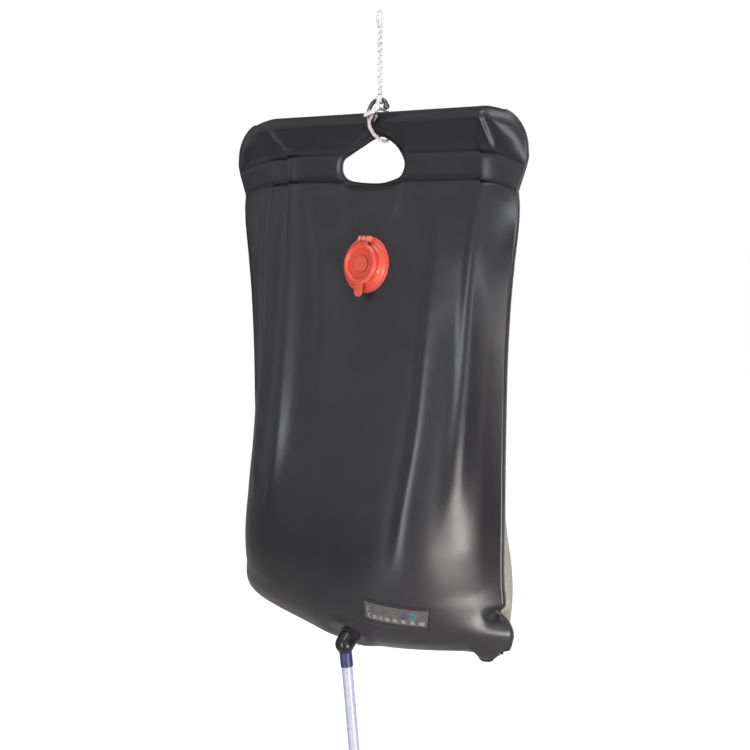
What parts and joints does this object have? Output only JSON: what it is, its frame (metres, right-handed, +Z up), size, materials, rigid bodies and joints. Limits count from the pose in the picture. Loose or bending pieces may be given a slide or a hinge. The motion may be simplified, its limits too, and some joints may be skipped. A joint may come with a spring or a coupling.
{
  "type": "camp shower bag",
  "caption": "Flat welded film water bag on a rod sleeve and cord hook, with filler cap, thermometer window, turning outlet, hose and shower rose with a tap",
  "frame": {"origin": "inside the top of the hanging cord's eye, where a branch, peg or hook holds the whole object up", "axes": "+Z up along the taut hanging cord, +X along the hanging rod to the right as seen from the front, -Y out of the black front panel, towards the filler cap and the outlet"},
  "size_m": [0.411, 0.2255, 1.1741],
  "materials": {
    "black_film": "satin",
    "grey_film": "satin",
    "white_cord": "matte",
    "steel": "satin",
    "rod_plastic": "matte",
    "orange_plastic": "gloss",
    "thermometer": "satin",
    "clear_film": "gloss",
    "black_gloss": "gloss",
    "black_plastic": "satin",
    "white_plastic": "satin",
    "violet_plastic": "satin",
    "clear_hose": "gloss",
    "seal": "matte"
  },
  "bodies": {
    "loop": {"cord_eye": "white_cord"},
    "cord": {"hanging_cord": "white_cord"},
    "hook": {"cord_knot": "white_cord", "hanging_hook": "steel"},
    "bag": {"sling_cord": "white_cord", "sling_knot": "white_cord", "front_panel": "black_film", "rear_panel": "grey_film", "hanging_rod": "rod_plastic", "rod_end_cap_left": "black_plastic", "rod_end_cap_right": "black_plastic", "filler_neck": "orange_plastic", "cap_strap": "orange_plastic", "thermometer_strip": "thermometer", "thermometer_window": "clear_film", "outlet_flange": "black_gloss", "outlet_seal_ring": "seal", "outlet_snap_ring": "steel"},
    "cap": {"filler_cap": "orange_plastic"},
    "outlet": {"outlet_elbow": "black_gloss", "hose_collar": "violet_plastic", "hose": "clear_hose", "hose_clip": "black_plastic", "tap_body": "black_plastic", "head_bell": "black_plastic", "rose_washer": "seal", "rose_plate": "white_plastic", "rose_nut": "black_plastic"},
    "lever": {"tap_spindle": "white_plastic", "tap_lever": "violet_plastic", "spindle_ring_front": "seal", "spindle_ring_rear": "seal"}
  },
  "joints": [
    {"name": "cord_twist", "type": "hinge", "parent": "loop", "child": "cord", "pos_m": [0, 0, -0.0153], "axis": [0, 0, 1], "range_deg": [-180, 180]},
    {"name": "bag_sway", "type": "hinge", "parent": "cord", "child": "hook", "pos_m": [0, 0, -0.09155], "axis": [0, 1, 0], "range_deg": [-20, 20]},
    {"name": "bag_swing", "type": "hinge", "parent": "hook", "child": "bag", "pos_m": [-0.0113, 0, -0.1147], "axis": [1, 0, 0], "range_deg": [-15, 15]},
    {"name": "filler_cap_hinge", "type": "hinge", "parent": "bag", "child": "cap", "pos_m": [-0.0005, -0.025, -0.24089], "axis": [-1, 0, 0], "range_deg": [0, 145]},
    {"name": "outlet_swivel", "type": "hinge", "parent": "bag", "child": "outlet", "pos_m": [0.011, -0.06514, -0.67165], "axis": [0, -0.7547, -0.6561], "range_deg": [-40, 40]},
    {"name": "tap_lever_turn", "type": "hinge", "parent": "outlet", "child": "lever", "pos_m": [0.02915, -0.07311, -1.11325], "axis": [0, 1, 0], "range_deg": [0, 90]}
  ]
}
